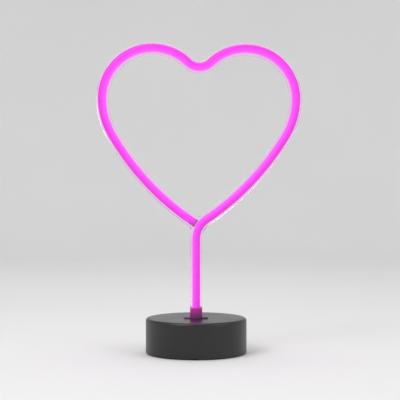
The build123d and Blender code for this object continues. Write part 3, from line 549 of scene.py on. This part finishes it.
def clear_plastic():
    """Clear acrylic of the back frame, with faint sink marks and wipe marks, and a painted pink
    glow of the tube in its tint and emission.
    """
    finish = Finish("clear_plastic", IOR=1.49)
    # Painted light: the pink tint stands in for the tube's glow caught in the acrylic; its
    # slight variation is random tone.
    painted_glow_tint = finish.mix(finish.noise(20.0), (0.95, 0.82, 0.95), (0.97, 0.87, 0.97))
    finish.set("Base Color", painted_glow_tint)
    finish.set("Transmission Weight", 1.0)
    # Painted glow of the tube in the acrylic.
    finish.set("Emission Color", FRAME_LIT)
    finish.set("Emission Strength", 1.0)
    finish.set("Roughness", finish.spread(finish.noise(60.0), 0.04, 0.10))
    finish.bump(finish.noise(35.0, detail=1.0), 0.08, 0.2)
    return finish.material


def frosted_plastic():
    """Frosted moulding with a painted glow of the tube inside it, and painted shade: dimmer
    towards the base and behind the strip.
    """
    finish = Finish("frosted_plastic", IOR=1.49)
    height = finish.axis(finish.place, "Z")
    share = finish.spread(height, 0.0, 1.0, FLANGE_TOP * MM, COLLAR_TOP * MM)
    # The base colour carries painted glow and shade too: pinker at the top, darker towards the
    # base.
    finish.set("Base Color", finish.mix(share, (0.07, 0.018, 0.075), (0.16, 0.020, 0.13)))
    finish.set("Transmission Weight", 0.35)
    # Painted glow: the collar's glow, dimmer at its foot, and a fainter glow on the flange.
    painted_collar_glow = finish.mix(share, COLLAR_FOOT, COLLAR_LIT)
    above = finish.spread(height, 0.0, 1.0, (FLANGE_TOP - FLANGE_FADE) * MM, FLANGE_TOP * MM)
    finish.set("Emission Color", finish.mix(above, FLANGE_LIT, painted_collar_glow))
    # Painted shade: the glow dims towards +X, behind the strip, and the flange's glow on that
    # side almost goes out.
    side = finish.axis(finish.place, "X")
    shade = finish.spread(side, 1.0, 0.55, -0.5 * FRAME_HALF * MM, FRAME_HALF * MM)
    painted_wing_shade = finish.spread(side, 1.0, 0.15, -FRAME_HALF * MM, FRAME_HALF * MM)
    shade = finish.maths("MINIMUM", shade, finish.maths("MAXIMUM", above, painted_wing_shade))
    cloud = finish.spread(finish.noise(120.0), 0.9, 1.08)
    finish.set("Emission Strength", finish.maths("MULTIPLY", shade, cloud))
    finish.set("Roughness", finish.spread(finish.noise(900.0), 0.28, 0.42))
    finish.bump(finish.noise(2600.0), 0.02, 0.5)
    return finish.material


def circuit_strip():
    """White flexible circuit with copper tracks faintly showing."""
    finish = Finish("circuit_strip", Roughness=0.5)
    tracks = finish.spread(finish.noise(160.0, stretch=(1.0, 8.0, 1.0)), 0.0, 1.0, 0.5, 0.56)
    finish.set("Base Color", finish.mix(tracks, (0.78, 0.72, 0.74), (0.70, 0.62, 0.60)))
    finish.bump(tracks, 0.03, 0.4)
    return finish.material


def led_package():
    """Moulded packages with a bright lit face."""
    finish = Finish("led_package", Base_Color=(0.9, 0.62, 0.85), Roughness=0.3)
    finish.set("Emission Color", CHIP_LIT)
    finish.set("Emission Strength", finish.spread(finish.noise(500.0), 1.1, 1.5))
    return finish.material


def black_moulding(name, level, gloss, rough, grain, top_gloss=False):
    """Black plastic with a moulded grain; a top that faces up can be polished instead."""
    finish = Finish(name)
    cloud = finish.noise(45.0)
    deep = (level * 0.85, level * 0.85, level * 0.88)
    pale = (level * 1.15, level * 1.15, level * 1.2)
    finish.set("Base Color", finish.mix(finish.spread(cloud, 0, 1), deep, pale))
    fine = finish.noise(3200.0, detail=2.0)
    sides = finish.spread(fine, gloss, rough)
    if top_gloss:
        facing = finish.axis(finish.node("ShaderNodeTexCoord").outputs["Normal"], "Z")
        up = finish.spread(facing, 0.0, 1.0, 0.75, 0.97)
        polish = finish.spread(finish.noise(25.0), 0.25, 0.32)
        rest = finish.maths("SUBTRACT", 1.0, up)
        sides = finish.maths(
            "ADD", finish.maths("MULTIPLY", sides, rest), finish.maths("MULTIPLY", polish, up)
        )
        finish.bump(fine, grain, finish.maths("MULTIPLY", rest, 0.6))
    else:
        finish.bump(fine, grain, 0.6)
    finish.set("Roughness", sides)
    finish.bump(finish.noise(14.0, detail=1.0), 0.2, 0.12)
    return finish.material


def foot_rubber():
    """Dusty matt rubber pads."""
    finish = Finish("foot_rubber", Roughness=0.85)
    dust = finish.spread(finish.noise(600.0, detail=6.0), 0.0, 1.0, 0.4, 0.75)
    finish.set("Base Color", finish.mix(dust, (0.035, 0.035, 0.036), (0.085, 0.082, 0.078)))
    finish.bump(finish.noise(2200.0), 0.05, 0.7)
    return finish.material


def plated_metal(name, dark, pale, low, high, brushing=(1.0, 1.0, 14.0)):
    """Plated metal with fine drawing marks and slight tarnish."""
    finish = Finish(name, Metallic=1.0)
    marks = finish.noise(1500.0, stretch=brushing)
    tarnish = finish.noise(180.0, detail=5.0)
    finish.set("Base Color", finish.mix(finish.spread(tarnish, 0, 1), dark, pale))
    finish.set("Roughness", finish.spread(marks, low, high))
    finish.bump(marks, 0.01, 0.5)
    return finish.material


def cell_wrap():
    """Plain cell wrap: one muted colour with a pale ring, and bare metal ends."""
    finish = Finish("cell_wrap")
    along = finish.axis(finish.place, "X")
    low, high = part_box("battery_1")
    length = high.x - low.x
    offset = finish.maths("ABSOLUTE", finish.maths("SUBTRACT", along, (low.x + high.x) / 2))
    ring = finish.spread(offset, 0.0, 1.0, 0.425 * length, 0.428 * length)
    ends = finish.spread(offset, 0.0, 1.0, 0.470 * length, 0.473 * length)
    wear = finish.noise(300.0, detail=5.0)
    body = finish.mix(finish.spread(wear, 0, 1), (0.022, 0.085, 0.080), (0.028, 0.105, 0.095))
    wrap = finish.mix(ring, body, (0.52, 0.53, 0.52))
    finish.set("Base Color", finish.mix(ends, wrap, (0.62, 0.62, 0.63)))
    finish.set("Metallic", ends)
    finish.set("Roughness", finish.spread(wear, 0.2, 0.36))
    finish.bump(finish.noise(150.0), 0.03, 0.3)
    return finish.material


def circuit_board():
    """Green solder mask over tracks."""
    finish = Finish("circuit_board", Roughness=0.35)
    cells = finish.node("ShaderNodeTexVoronoi", Vector=finish.place, Scale=420.0)
    cells.distance = "MANHATTAN"
    tracks = finish.spread(cells.outputs["Distance"], 0.0, 1.0, 0.30, 0.36)
    finish.set("Base Color", finish.mix(tracks, (0.012, 0.085, 0.025), (0.02, 0.15, 0.045)))
    finish.bump(tracks, 0.04, 0.5)
    return finish.material


def insulation(name, colour):
    """Soft wire insulation with faint rub marks."""
    finish = Finish(name, Roughness=0.45)
    rubs = finish.spread(finish.noise(260.0, detail=5.0), 0.0, 1.0, 0.35, 0.75)
    pale = tuple(min(1.0, part * 1.25 + 0.01) for part in colour)
    finish.set("Base Color", finish.mix(rubs, colour, pale))
    finish.set("Roughness", finish.spread(rubs, 0.38, 0.55, 0, 1))
    finish.bump(finish.noise(900.0), 0.03, 0.4)
    return finish.material


def studio_paper():
    """Plain pale paper; what the camera, gloss and glass see of the wall is kept pale."""
    finish = Finish("studio_paper", Roughness=0.85)
    finish.set(
        "Base Color", finish.mix(finish.noise(3.0), (0.78, 0.775, 0.77), (0.82, 0.815, 0.81))
    )
    rays = finish.node("ShaderNodeLightPath")
    seen = rays.outputs["Is Camera Ray"]
    for kind in ("Is Glossy Ray", "Is Transmission Ray"):
        seen = finish.maths("MAXIMUM", seen, rays.outputs[kind])
    wall = finish.spread(finish.axis(finish.place, "Z"), 0.0, WALL_GLOW, 0.0, GLOW_HEIGHT)
    far = finish.spread(finish.axis(finish.place, "Y"), 0.0, WALL_GLOW, GLOW_FROM, FLOOR_RADIUS)
    glow = finish.maths("MAXIMUM", wall, far)
    finish.set("Emission Color", (1.0, 1.0, 1.0))
    finish.set("Emission Strength", finish.maths("MULTIPLY", seen, glow))
    return finish.material


# --- Dressing the CAD nodes ----------------------------------------------------------


def dress(material, *names):
    """Give CAD nodes a material."""
    for name in names:
        slots = nodes[name].data.materials
        if not slots:
            slots.append(material)
        for i in range(len(slots)):
            slots[i] = material


def label_piece(name, text, x, material):
    """Raised printed letters on the recessed panel, read from behind."""
    curve = bpy.data.curves.new(name, "FONT")
    curve.body = text
    curve.size = LABEL_SIZE * MM
    curve.extrude = LABEL_RAISE * MM
    curve.align_x = "CENTER"
    curve.align_y = "CENTER"
    letters = bpy.data.objects.new(name, curve)
    letters.rotation_euler = (math.radians(90), 0, math.radians(180))
    letters.location = Vector((x, PANEL_PLANE, LABEL_HEIGHT)) * MM
    bpy.context.scene.collection.objects.link(letters)
    letters.data.materials.append(material)
    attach(letters, "sign")


dress(end_silicone(), "tube_end_cap")
dress(frosted_plastic(), "stem_collar")
dress(circuit_strip(), "led_strip")
dress(led_package(), "led_chips")
dress(black_moulding("black_shell", 0.010, 0.32, 0.42, 0.03, top_gloss=True), "base_shell")
dress(
    black_moulding("black_inner", 0.018, 0.42, 0.55, 0.04),
    "bottom_cover", "battery_door", "stem_retainer",
)
dress(
    black_moulding("black_detail", 0.030, 0.26, 0.38, 0.02),
    "switch_housing", "inlet_housing",
)
dress(black_moulding("knob_grey", 0.11, 0.40, 0.52, 0.05), "switch_knob")
dress(foot_rubber(), "foot_pads")
dress(
    plated_metal("screw_steel", (0.42, 0.42, 0.44), (0.62, 0.61, 0.60), 0.22, 0.38),
    "retainer_screws", "cover_screws", "board_screws",
)
dress(
    plated_metal("contact_metal", (0.50, 0.49, 0.46), (0.70, 0.69, 0.66), 0.18, 0.3, (14, 1, 1)),
    "contact_plates", "contact_springs", "inlet_pin",
)
dress(cell_wrap(), "battery_1", "battery_2", "battery_3")
dress(circuit_board(), "control_board")
dress(black_moulding("chip_black", 0.02, 0.35, 0.5, 0.02), "driver_chip", "board_resistors")
dress(insulation("lead_red", (0.42, 0.012, 0.01)), "positive_lead")
dress(insulation("lead_black", (0.012, 0.012, 0.012)), "negative_lead")
dress(insulation("lead_white", (0.55, 0.54, 0.52)), "strip_lead_inner", "strip_lead_outer")

label_print = black_moulding("label_print", 0.42, 0.45, 0.6, 0.02)
for name, text, x in SWITCH_LABELS:
    label_piece(name, text, x, label_print)

sleeve = make_sleeve()
sleeve.data.materials.append(lit_silicone())
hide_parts("neon_sleeve")
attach(sleeve, "sign")

clear_frame = make_frame()
clear_frame.data.materials.append(clear_plastic())
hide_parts("back_frame")
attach(clear_frame, "sign")


# --- Studio --------------------------------------------------------------------------


def make_backdrop():
    """Round floor that curves up into a wall, the same from every side."""
    profile = [(0.0, 0.0), (FLOOR_RADIUS, 0.0)]
    for i in range(1, SWEEP_SEGMENTS + 1):
        turn = 90 * i / SWEEP_SEGMENTS - 90
        profile.append(move((FLOOR_RADIUS, SWEEP_RADIUS), turn, SWEEP_RADIUS))
    profile.append((FLOOR_RADIUS + SWEEP_RADIUS, WALL_HEIGHT))
    points, faces = [], []
    for column in range(WALL_SEGMENTS):
        for reach, height in profile:
            x, y = move((0, 0), 360 * column / WALL_SEGMENTS, reach)
            points.append((x / MM, y / MM, height / MM))
    count = len(profile)
    for column in range(WALL_SEGMENTS):
        low, high = column * count, (column + 1) % WALL_SEGMENTS * count
        for i in range(count - 1):
            faces.append((low + i, low + i + 1, high + i + 1, high + i))
    backdrop = mesh_object("studio_backdrop", points, faces, smooth_angle=60)
    backdrop.data.materials.append(studio_paper())


def area_lamp(name, place, target, size, watts):
    """A soft square lamp aimed at a point."""
    lamp = bpy.data.lights.new(name, "AREA")
    lamp.energy = watts
    lamp.size = size
    holder = bpy.data.objects.new(name, lamp)
    holder.location = place
    aim = Vector(target) - Vector(place)
    holder.rotation_euler = aim.to_track_quat("-Z", "Y").to_euler()
    bpy.context.scene.collection.objects.link(holder)


def make_world():
    """Even pale studio fill."""
    world = bpy.data.worlds.new("studio")
    world.use_nodes = True
    background = world.node_tree.nodes["Background"]
    background.inputs["Color"].default_value = WORLD_COLOUR
    background.inputs["Strength"].default_value = WORLD_STRENGTH
    bpy.context.scene.world = world


def make_camera():
    """Level camera in front of the light."""
    data = bpy.data.cameras.new("front_camera")
    data.lens = CAMERA_LENS
    data.sensor_width = CAMERA_SENSOR
    data.clip_end = CAMERA_REACH
    camera = bpy.data.objects.new("front_camera", data)
    camera.location = CAMERA_PLACE
    camera.rotation_euler = (math.radians(90), 0, 0)
    bpy.context.scene.collection.objects.link(camera)
    bpy.context.scene.camera = camera


make_backdrop()
make_world()
for lamp in LAMPS:
    area_lamp(*lamp)
make_camera()
bpy.context.scene.view_settings.view_transform = "Standard"
